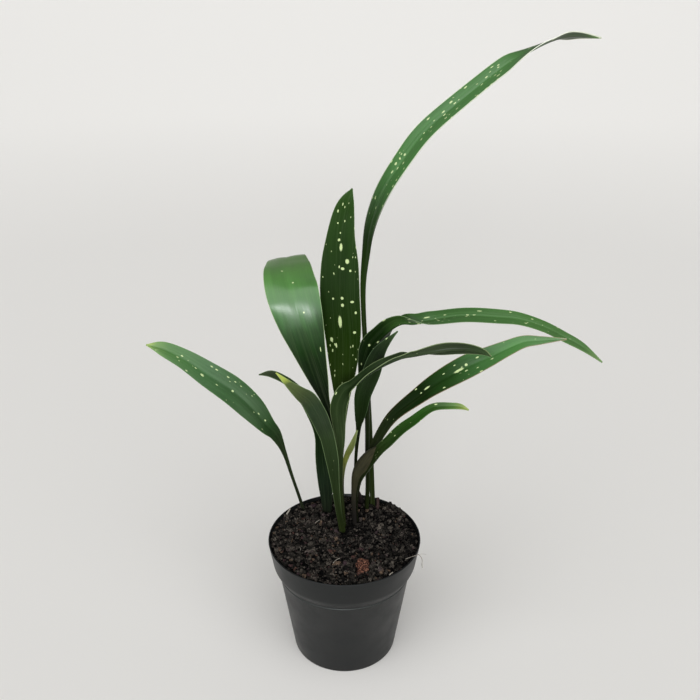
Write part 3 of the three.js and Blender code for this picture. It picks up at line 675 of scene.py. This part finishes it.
# The tones hold each leaf's own colour and painted shade: darker toward the foot, where other leaves
# shade it.
LEAF_LOOKS = {
    "leaf_tall_arching": {
        "tones": [(0, "262c12"), (0.25, "22360f"), (0.35, "16290c"), (0.45, "234019"),
                  (0.55, "346528"), (0.7, "3a6b2e"), (0.8, "3a682c"), (0.88, "1c3408"),
                  (0.96, "20380a"), (1, "47721a")],
        "flecks": 0.26, "waxy_from": 0.42, "wax": 1, "margin": "d8dcc8",
        "rim_strength": 0.9, "rim_width": 0.8,
        "blots": [
            (0.35, -0.1, 2.6, 1.2), (0.37, 0.1, 2.4, 1.1), (0.465, -0.5, 2, 1.4),
            (0.55, -0.4, 2.6, 1.6), (0.562, -0.35, 1.6, 1.6), (0.573, -0.2, 2.2, 1.3),
            (0.677, -0.5, 2.2, 1.3),
        ],
    },
    "leaf_upright": {
        "tones": [(0, "27330f"), (0.3, "24340f"), (0.45, "1a2d08"), (0.6, "152b06"),
                  (0.8, "1c360a"), (1, "244212")],
        "flecks": 0.12, "wax": 0.14, "roughness": 0.5, "rim_strength": 0.25,
        "blots": [
            (0.427, -0.4, 3.4, 1.2), (0.443, -0.65, 3, 2.2), (0.46, 0.65, 1.6, 2.2),
            (0.487, -0.1, 7.6, 2.4), (0.507, 0.75, 1.8, 1.6), (0.527, 0.1, 2.2, 2),
            (0.535, 0.6, 1.6, 2.6), (0.545, 0.1, 2, 1.9), (0.545, -0.35, 1.4, 1.4),
            (0.618, 0.55, 1.8, 1.6), (0.623, 0.15, 2, 2.6), (0.645, 0.4, 3.8, 2.8),
            (0.69, 0.05, 6.8, 2.4), (0.715, -0.1, 2.6, 2.4), (0.74, -0.05, 1.6, 1.3),
            (0.775, -0.35, 1.8, 1.6),
        ],
    },
    # This leaf's tones are painted dark below its bend, in shade, and painted lighter above it, where
    # it faces the sky.
    "leaf_arching_back": {
        "tones": [(0, "14200c"), (0.35, "0c1808"), (0.44, "11220b"), (0.52, "1c3b14"),
                  (0.57, "336029"), (0.66, "4a7c36"), (0.8, "4f7a30"), (1, "547434")],
        "flecks": 0, "waxy_from": 0.47, "wax": 1, "margin": "a9c08a", "rim_strength": 0.5,
        "blots": [(0.468, 0.7, 4, 1), (0.565, 0.25, 1.4, 1.3), (0.652, 0.1, 1.6, 1.4),
                  (0.705, -0.25, 1.8, 1.6)],
    },
    "leaf_front_short": {
        "tones": [(0, "23290f"), (0.15, "1d2510"), (0.3, "1f2b15"), (0.47, "24321b"),
                  (0.55, "1b2a13"), (0.68, "182b10"), (0.8, "303c1c"), (0.93, "46542a"),
                  (0.96, "98a648"), (1, "b4bc5c")],
        "wax": 0.3,
    },
    "leaf_far_left": {
        "tones": [(0, "1a1c12"), (0.3, "1b2612"), (0.42, "1e3618"), (0.55, "2d4e26"),
                  (0.75, "366030"), (0.88, "406c2e"), (0.95, "5c8236"), (1, "98ac4c")],
        "flecks": 0.12, "wax": 1,
        "blots": [(0.477, 0.2, 1.8, 1.6), (0.637, 0, 1.8, 1.4), (0.748, -0.3, 2.4, 1.8),
                  (0.83, 0.2, 1.8, 1.4)],
    },
    "leaf_right_arching": {
        "tones": [(0, "1a200c"), (0.33, "0a1806"), (0.41, "0c2004"), (0.46, "253f17"),
                  (0.6, "335a26"), (0.8, "3f692f"), (0.94, "456a36"), (1, "6a8850")],
        "flecks": 0.18, "wax": 0.5,
        "blots": [(0.355, 0.4, 2, 1.6), (0.403, -0.2, 3.2, 2.2), (0.575, -0.35, 6, 1.4),
                  (0.672, -0.6, 2.4, 1.2), (0.733, -0.75, 2.4, 1.3)],
    },
    "leaf_middle_narrow": {
        "tones": [(0, "22280f"), (0.2, "303e24"), (0.33, "26351b"), (0.5, "17280f"),
                  (0.65, "2b3a20"), (0.85, "1e2a14"), (1, "264018")],
        "wax": 0.25, "margin": "9db07c", "rim_strength": 0.5,
    },
    "leaf_right_broad": {
        "tones": [(0, "1a1a10"), (0.2, "1a230b"), (0.35, "101e07"), (0.5, "0f2207"),
                  (0.6, "1d3c13"), (0.7, "305d26"), (0.83, "3f7332"), (1, "4c7440")],
        "flecks": 0.13, "waxy_from": 0.58, "margin": "97866c", "rim_strength": 0.8,
        "blots": [(0.487, -0.1, 2, 1), (0.517, -0.15, 6, 1.4), (0.627, -0.05, 8, 1.6),
                  (0.655, -0.2, 2.4, 1.8)],
    },
    "leaf_right_small": {
        "tones": [(0, "15140f"), (0.2, "1e260f"), (0.4, "1d330f"), (0.6, "1f4211"),
                  (0.77, "2a4c17"), (0.85, "456826"), (0.93, "6e8238"), (1, "8e9a48")],
        "flecks": 0.08, "waxy_from": 0.6, "wax": 0.4,
    },
    "leaf_dark_short": {
        "tones": [(0, "20200f"), (0.25, "141c0b"), (0.5, "17270e"), (0.7, "14240a"),
                  (0.8, "0a1904"), (0.92, "1a2a10"), (1, "34462a")],
        "wax": 0.15, "roughness": 0.5, "margin": "6d8a62",
    },
    "leaf_left_back": {
        "tones": [(0, "14130f"), (0.2, "172216"), (0.3, "0e1c0a"), (0.8, "14240c"),
                  (1, "2c3520")],
        "flecks": 0, "wax": 0.15, "roughness": 0.5,
    },
    "leaf_young": {
        "tones": [(0, "1d1e12"), (0.2, "3c402a"), (0.4, "72784a"), (0.52, "7a803a"),
                  (0.65, "646b30"), (0.8, "68713a"), (1, "747c4a")],
        "flecks": 0, "wax": 0.3, "roughness": 0.45,
    },
}
UNDERSIDE = "2e3c26"
UNDERSIDE_SHARE = 0.2


def under_tone(hex_colour):
    """The colour of a leaf's lower skin: duller and greyer than the upper."""
    pairs = zip(bytes.fromhex(hex_colour), bytes.fromhex(UNDERSIDE))
    return bytes(round(a + (b - a) * UNDERSIDE_SHARE) for a, b in pairs).hex()


for number, (name, form) in enumerate(LEAVES.items()):
    leaf = grow_leaf(name + "_blade", **form)
    look = LEAF_LOOKS[name]
    size = {
        "half": max(row[3] for row in form["midrib"]),
        "length": sum((Vector(b[:3]) - Vector(a[:3])).length
                      for a, b in zip(form["midrib"], form["midrib"][1:])),
        "seed": 3.7 * number,
    }
    lower_look = dict(look, tones=[(t, under_tone(colour)) for t, colour in look["tones"]])
    leaf.data.materials.append(leaf_tissue(name + " upper skin", **look, **size))
    leaf.data.materials.append(leaf_tissue(name + " lower skin", **lower_look, **size))
    settle(leaf, "leaf", name)

# ---- Sheath and scales ----
# Dry papery scales that wrapped the young shoots and stay at the foot of the stalks: one long
# olive-brown sheath, one short shoot of a dull pinkish brown, and one nearly black scale.
SCALES = {
    "stalk_sheath": {
        "midrib": [
            [8.5, 15, 90, 1.9], [7, 14, 119, 1.9], [7, 14, 134, 2.4], [8, 12, 147, 3.8],
            [12, 11, 157, 5.2], [18, 10, 168, 3.7], [24, 8, 176, 0.4],
        ],
        "faces": [[0, -0.3, -1, 0.1], [3, -0.4, -0.9, 0.3], [6, -0.5, -0.7, 0.6]],
        "curl": 0.75, "thickness": 0.8, "rows": 90,
    },
    "shoot_pink": {
        "midrib": [[27, 37, 90, 0.9], [27.4, 37, 101, 1], [27.3, 37, 110, 0.4]],
        "faces": [[0, -0.2, -1, 0.1], [2, -0.2, -1, 0.1]],
        "curl": 0.2, "thickness": 1.8, "rows": 50,
    },
    "scale_dark": {
        "midrib": [
            [13, 47.5, 90, 2.6], [12.5, 47.5, 101, 2.9], [11, 47.5, 108, 2.2], [9.5, 47, 115, 0.4],
        ],
        "faces": [[0, -0.2, -1, 0.1], [3, -0.2, -1, 0.2]],
        "curl": 0.5, "thickness": 0.8, "rows": 60,
    },
}
SCALE_LOOKS = {
    # slot, then the colours of the dark fibres, the pale fibres and the darker foot
    "stalk_sheath": ("sheath", "18170b", "37351f", "120f0b"),
    "shoot_pink": ("shoot", "261819", "4a3a35", "150e0e"),
    "scale_dark": ("scale", "17110f", "2c2320", "100c10"),
}


def papery_scale(name, dark, pale, darkening):
    """Dead bract: matte and fibrous, darker toward the foot."""
    bract = new_material(name, Roughness=0.72, Specular_IOR_Level=0.2)
    along = add_node(bract, "SeparateXYZ", {"Vector": carried(bract, "leaf_zone")}).outputs["Y"]
    fibres = along_grain(bract, 2.2, 0.08, 0, detail=6, roughness=0.65)
    colour = layered(bract, between(bract, fibres, 0.3, 0.7), dark, pale)
    colour = layered(bract, between(bract, along, 0.45, 0.1), colour, darkening)
    wire(bract, Base_Color=colour, Normal=bumped(bract, fibres, 0.2, 0.7))
    return bract


for name, form in SCALES.items():
    scale = grow_leaf(name + "_bract", fold=0, blade_from=-0.3, wave=0, **form)
    slot, *tones = SCALE_LOOKS[name]
    scale.data.materials.append(papery_scale(name + " dry bract", *tones))
    settle(scale, slot, name)

# ---- Root stock ----
# The plant's creeping stem, hidden in the grit: a knot under every leaf, joined by runners ringed
# with the scars of old scales. Each runner is drawn out ring by ring and laid in its place.
STOCK_HEIGHT = 80.4
KNOT_RADIUS = 5.2
RUNNER_RADIUS = 3.6
RUNNER_SIDES = 24
RING_SPACING = 2.4
SCAR_DEPTH = 0.06
RUNNERS = [
    # each row a chain of knots, in order
    ["leaf_far_left", "leaf_left_back", "leaf_arching_back", "leaf_middle_narrow", "leaf_front_short"],
    ["leaf_middle_narrow", "leaf_young", "leaf_upright"],
    ["leaf_young", "leaf_right_broad", "leaf_right_small"],
    ["leaf_right_broad", "leaf_dark_short", "leaf_right_arching", "leaf_tall_arching"],
]


def foot_of(leaf_name):
    """Where a leaf's knot lies on the root stock."""
    x, y, *_ = LEAVES[leaf_name]["midrib"][0]
    return Vector((x, y, STOCK_HEIGHT)) * MM


def ball(name, level):
    """A ball of radius 1 made of triangles, finer with each level."""
    bpy.ops.mesh.primitive_ico_sphere_add(subdivisions=level, radius=1)
    bpy.context.object.name = name
    return bpy.context.object


def joined(name, parts, angle):
    """One piece made of the parts, smooth where its faces meet under this many degrees."""
    bpy.ops.object.select_all(action="DESELECT")
    for part in parts:
        part.select_set(True)
    bpy.context.view_layer.objects.active = parts[0]
    bpy.ops.object.join()
    bpy.ops.object.shade_smooth_by_angle(angle=math.radians(angle))
    bpy.context.object.name = name
    return bpy.context.object


stock_parts = []
for start, end in (pair for chain in RUNNERS for pair in zip(chain, chain[1:])):
    run = foot_of(end) - foot_of(start)
    rings = max(4, round(run.length / MM / RING_SPACING))
    profile = []
    for k in range(4 * rings + 1):
        pinch = 1 - SCAR_DEPTH if k % 4 == 0 else 1
        profile.append((RUNNER_RADIUS * pinch * MM, run.length * k / (4 * rings)))
    runner = ring_of_edges("runner", *profile[0], RUNNER_SIDES)
    bpy.ops.mesh.edge_face_add()
    pull_ring(profile)
    close_up()
    lie = Vector((0, 0, 1)).rotation_difference(run).to_matrix().to_4x4()
    runner.data.transform(Matrix.Translation(foot_of(start)) @ lie)
    stock_parts.append(runner)
for name in LEAVES:
    knot = ball("knot", 4)
    middle = foot_of(name)
    for vertex in knot.data.vertices:
        ringed = 0.03 * math.sin(9 * vertex.co.z)
        lumpy = 0.08 * noise.noise(vertex.co * 2 + middle / MM)
        vertex.co = vertex.co * KNOT_RADIUS * MM * (0.97 + ringed + lumpy) + middle
    stock_parts.append(knot)
stock = joined("rhizome", stock_parts, 50)

# Living rhizome: firm pale tan skin, browner in blotches, with a dull waxy surface.
rhizome = new_material("Rhizome skin", Roughness=0.62)
place = add_node(rhizome, "TexCoord").outputs["Object"]
blotches = grainy(rhizome, place, 260, 6, 0.65)
skin = layered(rhizome, between(rhizome, blotches, 0.35, 0.65), "b39a72", "6e5535")
wire(rhizome, Base_Color=skin, Normal=bumped(rhizome, blotches, 0.3, 0.6))
stock.data.materials.append(rhizome)
settle(stock, "root_stock", "root_stock")

# ---- Cinder grit ----
# The potting mix: crushed volcanic cinder, black to purple brown, in granules of 1 to 4 mm over a
# bed of finer dust. The bed is drawn inwards ring by ring and down inside the pot's wall.
SOIL_EDGE = 97.2 * MM
SOIL_MOUND = 1.4 * MM
SOIL_GAP = 0.3 * MM
BED_SIDES = 150
BED_RINGS = 44
BED_DUST = 0.7 * MM
GRIT_COLOURS = [
    (0, "040404"), (0.25, "0c0b0a"), (0.45, "211f1c"), (0.62, "38342f"), (0.78, "524c45"),
    (0.88, "32272a"), (0.95, "44302a"), (1, "54463a"),
]

edge_share = (SOIL_EDGE - BAND_HEIGHT) / (POT_HEIGHT - BAND_HEIGHT)
SOIL_RADIUS = BAND_RADIUS + (RIM_RADIUS - BAND_RADIUS) * edge_share - WALL - SOIL_GAP


def soil_height(radius):
    """The mean height of the grit at this distance from the middle of the pot."""
    return SOIL_EDGE + SOIL_MOUND * (1 - (radius / SOIL_RADIUS) ** 2)


bed = ring_of_edges("cinder_bed", SOIL_RADIUS, SOIL_EDGE, BED_SIDES)
pull_ring([(SOIL_RADIUS * k / BED_RINGS, SOIL_EDGE) for k in range(BED_RINGS, 0, -1)])
bpy.ops.mesh.merge(type="CENTER")
pick_edges(bed, lambda place: math.hypot(place.x, place.y) > SOIL_RADIUS - TOUCH)
pull_ring([
    (SOIL_RADIUS, SOIL_EDGE),
    (BAND_RADIUS - WALL - SOIL_GAP, BAND_HEIGHT + 0.6 * MM),
    (CREASE_RADIUS - WALL - SOIL_GAP, CREASE_HEIGHT + 0.6 * MM),
    (BASE_RADIUS - WALL + 0.4 * MM - SOIL_GAP, BASE_PLATE + 1.7 * MM),
    (BASE_RADIUS - WALL - 0.6 * MM - SOIL_GAP, BASE_PLATE + SOIL_GAP),
])
bpy.ops.mesh.edge_face_add()
close_up()
for vertex in bed.data.vertices:
    radius = math.hypot(vertex.co.x, vertex.co.y)
    if vertex.co.z > SOIL_EDGE - TOUCH and radius < SOIL_RADIUS - TOUCH:
        spot = vertex.co / MM
        dust = noise.noise(spot * 0.45) + 0.6 * noise.noise(spot * 1.3)
        vertex.co.z = soil_height(radius) + BED_DUST * dust
bpy.ops.object.shade_smooth()

# Cinder is porous glass: rough, nearly black, with rusty and purple granules among the rest.
cinder = new_material("Crushed volcanic cinder", Roughness=0.85, Specular_IOR_Level=0.06)
place = add_node(cinder, "TexCoord").outputs["Object"]
hue = tone_ramp(cinder, carried(cinder, "granule_tone", "Fac"), GRIT_COLOURS)
pores = grainy(cinder, place, 1400, 3, 0.7)
# The pore pattern darkens the pits and lightens the raised spots: painted shade and light over the
# cinder's own tone.
shaded = add_node(cinder, "VectorMath", {
    0: hue, "Scale": between(cinder, pores, 0.38, 0.62, 0.25, 1.9),
}, operation="SCALE")
wire(cinder, Base_Color=shaded.outputs["Vector"], Normal=bumped(cinder, pores, 0.4, 0.9))
bed.data.materials.append(cinder)
settle(bed, "soil", "soil")


def crushed_stones(name, shapes, level, jag):
    """A few angular stones of radius 1, each a ball with its points pushed about by noise."""
    stones = []
    for shape in range(shapes):
        stone = ball(f"{name}_{shape}", level)
        for vertex in stone.data.vertices:
            spot = vertex.co * 1.1 + Vector((shape * 17.3, 4, 9))
            vertex.co *= 1 + jag * noise.noise(spot) + 0.5 * jag * noise.noise(spot * 2.7)
        stones.append(stone)
    return stones


def lay_stone(stone, spot, size, tone, chance):
    """One copy of a stone at a spot, turned and stretched by chance, with its own tone."""
    turn = Matrix.Rotation(chance.uniform(0, math.tau), 4, chance.choice("XYZ"))
    turn = Matrix.Rotation(chance.uniform(0, math.tau), 4, "Z") @ turn
    stretch = Matrix.Diagonal((size * chance.uniform(0.8, 1.2), size,
                               size * chance.uniform(0.6, 0.95), 1))
    mesh = stone.data.copy()
    mesh.transform(Matrix.Translation(spot) @ turn @ stretch)
    tones = mesh.attributes.new("granule_tone", "FLOAT", "POINT")
    tones.data.foreach_set("value", [tone] * len(mesh.vertices))
    copy = bpy.data.objects.new(stone.name, mesh)
    bpy.context.collection.objects.link(copy)
    return copy


def heap_up(name, laid, stones):
    """Joins the laid copies into one piece of grit, and clears away the stones they copy."""
    heap = joined(name, laid, 35)
    heap.data.materials.append(cinder)
    settle(heap, "soil")
    for stone in stones:
        bpy.data.objects.remove(stone)


CINDER_PLACE = Vector((13.8, -36.4, 98)) * MM
CINDER_SIZE = Vector((5.4, 8.3, 5.8)) * MM
CINDER_TAPER = 0.2
CINDER_CLEAR = 4.6 * MM
STALK_EXIT = 97
keep_out = [(CINDER_PLACE.xy, CINDER_CLEAR)]
for form in [*LEAVES.values(), *SCALES.values()]:
    rows = form["midrib"]
    stalk = [midrib_at(rows, k / 200) for k in range(80)]
    foot = min(stalk, key=lambda point: abs(point.z - STALK_EXIT))
    keep_out.append((foot.xy * MM, max(rows[0][3], rows[1][3]) * 0.7 * MM))

STALK_BED = Vector((4, 14)) * MM
SHADE_REACH = 32 * MM
GRIT_LAYERS = [
    # name, shapes, ball level, jag, count, smallest and largest radius in mm, lift in radii, seed
    ("grit_fine", 8, 1, 1.0, 5000, 0.45, 0.8, (0, 1.2), 11),
    ("grit_middling", 8, 2, 1.1, 2200, 0.6, 1.1, (0.2, 1.5), 37),
    ("grit_coarse", 9, 2, 1.1, 1500, 0.9, 1.8, (0.1, 1.1), 23),
]
for name, shapes, level, jag, count, smallest, largest, lift, seed in GRIT_LAYERS:
    chance = random.Random(seed)
    stones = crushed_stones(name + "_stone", shapes, level, jag)
    laid = []
    while len(laid) < count:
        size = (smallest + (largest - smallest) * chance.random() ** 3) * MM
        radius = (SOIL_RADIUS - size * 0.8) * math.sqrt(chance.random())
        angle = chance.uniform(0, math.tau)
        spot = Vector((radius * math.cos(angle), radius * math.sin(angle), 0))
        if any((spot.xy - middle).length < clear + 0.5 * size for middle, clear in keep_out):
            continue
        spot.z = soil_height(radius) + size * chance.uniform(*lift)
        redness = 0.15 * smooth(noise.noise(spot / MM * 0.06 + Vector((2, 7, 1))) * 2)
        # Granules to the right and near the stalks are darker: a painted shade.
        darkening = 0.07 * spot.x / SOIL_RADIUS
        darkening += 0.14 * smooth(1 - (spot.xy - STALK_BED).length / SHADE_REACH)
        shade = min(max(chance.gauss(0.47, 0.24) + redness - darkening, 0), 1)
        laid.append(lay_stone(chance.choice(stones), spot, size, shade, chance))
    heap_up(name, laid, stones)

PLACED_STONES = [
    # x, y, z and radius in mm, and tone: a brown crumb, a smooth dark stone, chips by the large
    # cinder and the granules left on the rim at the back right
    (-5, -34, 98.2, 2.8, 1), (1.4, -39.4, 98.4, 3, 0.3), (1.2, -33.2, 98.6, 2.4, 0.88),
    (12.6, -17, 99, 2.6, 0.9), (7, -27, 99, 1.8, 0.94), (11, -44.6, 98, 1.8, 0.95),
    (-36, -39, 97.8, 1.6, 0.96), (-26.5, 42, 98.4, 3, 0.88), (22, -34, 98.6, 2, 0.84),
    (46.5, 34, 99.6, 1.9, 0.5), (44, 37, 99.4, 2.2, 0.4), (48.5, 30, 99.4, 1.7, 0.6),
    (41, 41, 99.2, 2, 0.5), (37.5, 44, 99.2, 2.2, 0.35), (45.5, 35.5, 101, 1.2, 0.6),
]
chance = random.Random(5)
stones = crushed_stones("placed_stone", 6, 3, 0.7)
heap_up("grit_placed", [
    lay_stone(chance.choice(stones), Vector((x, y, z)) * MM, size * MM, tone, chance)
    for x, y, z, size, tone in PLACED_STONES
], stones)

# ---- Red cinder ----
# One larger lump of oxidised cinder, brick red and full of small holes, half sunk in the grit.
# It is a ball pushed out and pitted by noise, flattened a little and laid along the pot.
lump = ball("red_cinder_lump", 6)
for vertex in lump.data.vertices:
    spot = vertex.co.copy()
    bulge = 0.1 * math.sin(3 * spot.x + 1) * math.cos(4 * spot.y)
    pits = min(0, noise.noise(spot * 4.2) + 0.1) * 0.5 + min(0, noise.noise(spot * 9)) * 0.22
    knobs = 0.1 * noise.noise(spot * 2.3 + Vector((3, 1, 4)))
    spot.x *= 1 + CINDER_TAPER * spot.y
    vertex.co = spot * (1 + bulge + pits + knobs) * CINDER_SIZE + CINDER_PLACE
bpy.ops.object.shade_smooth()

# Oxidised cinder: matte brick red, mottled with tan crust, and darker in its pits: its own mottle and a
# painted shade.
red_clay = new_material("Oxidised cinder", Roughness=0.9, Specular_IOR_Level=0.25)
place = add_node(red_clay, "TexCoord").outputs["Object"]
mottle_and_pit_shade = grainy(red_clay, place, 480, 5, 0.7)
crust = grainy(red_clay, place, 900, 4, 0.8)
rust = layered(red_clay, between(red_clay, mottle_and_pit_shade, 0.4, 0.6), "120605", "3c1d15")
rust = layered(red_clay, between(red_clay, crust, 0.51, 0.58, 0, 0.9), rust, "9c6c56")
wire(red_clay, Base_Color=rust, Normal=bumped(red_clay, mottle_and_pit_shade, 0.6, 0.9))
lump.data.materials.append(red_clay)
settle(lump, "cinder", "red_cinder")

# ---- Root fibres ----
# Dry roots and bits of straw that lie on the grit, and one that hangs over the rim at the right.
# Each is a curve through a few listed points, given a round section and made a mesh.
FIBRES = [
    # radius in mm, then the points in mm
    (0.65, [(-48.2, 29.5, 99), (-47, 32, 100.4), (-45.5, 35, 101.2)]),
    (0.28, [(-24, 17, 99.6), (-23, 18.2, 100.1), (-21.9, 19.4, 100.3), (-20.3, 21.4, 99.9)]),
    (0.27, [(-8.4, -33.6, 99.4), (-7, -32, 100.2), (-5.2, -30, 100.4), (-3.4, -28.4, 100)]),
    (0.45, [(33.4, -46.8, 98.8), (34.6, -46, 100), (36, -44.8, 99.8)]),
    (0.18, [(46.6, -28.2, 99), (50, -27.4, 100.2), (54.4, -26.4, 101), (57, -25.4, 101.4)]),
    (0.24, [(56, -25.4, 101.2), (58.2, -27, 101.3), (59.4, -29.5, 98.5), (58.8, -31, 96.4),
            (59.2, -32, 94)]),
    (0.08, [(57, -25.4, 101.3), (60, -25.2, 101.8), (62.4, -25, 101)]),
    (0.14, [(-36, -12, 98.8), (-33, -15, 100), (-34, -19, 99.2)]),
]

fibres = []
for radius, points in FIBRES:
    curve = bpy.data.curves.new("fibre", "CURVE")
    curve.dimensions = "3D"
    curve.bevel_depth = radius * MM
    curve.bevel_resolution = 2
    curve.use_fill_caps = True
    spline = curve.splines.new("NURBS")
    spline.points.add(len(points) - 1)
    for knot, point in zip(spline.points, points):
        knot.co = (*(Vector(point) * MM), 1)
    spline.order_u = 3
    spline.use_endpoint_u = True
    spline.resolution_u = 8
    fibre = bpy.data.objects.new("fibre", curve)
    bpy.context.collection.objects.link(fibre)
    bpy.ops.object.select_all(action="DESELECT")
    fibre.select_set(True)
    bpy.context.view_layer.objects.active = fibre
    bpy.ops.object.convert(target="MESH")
    fibres.append(bpy.context.object)
roots = joined("root_fibres", fibres, 50)

# Dry root: straw coloured and matte, browner in patches.
straw = new_material("Dry root", Roughness=0.8, Specular_IOR_Level=0.3)
place = add_node(straw, "TexCoord").outputs["Object"]
patches = grainy(straw, place, 600, 4, 0.7)
dry = layered(straw, between(straw, patches, 0.35, 0.65), "b3aca0", "6a6256")
wire(straw, Base_Color=dry, Normal=bumped(straw, patches, 0.1, 0.6))
roots.data.materials.append(straw)
settle(roots, "soil")
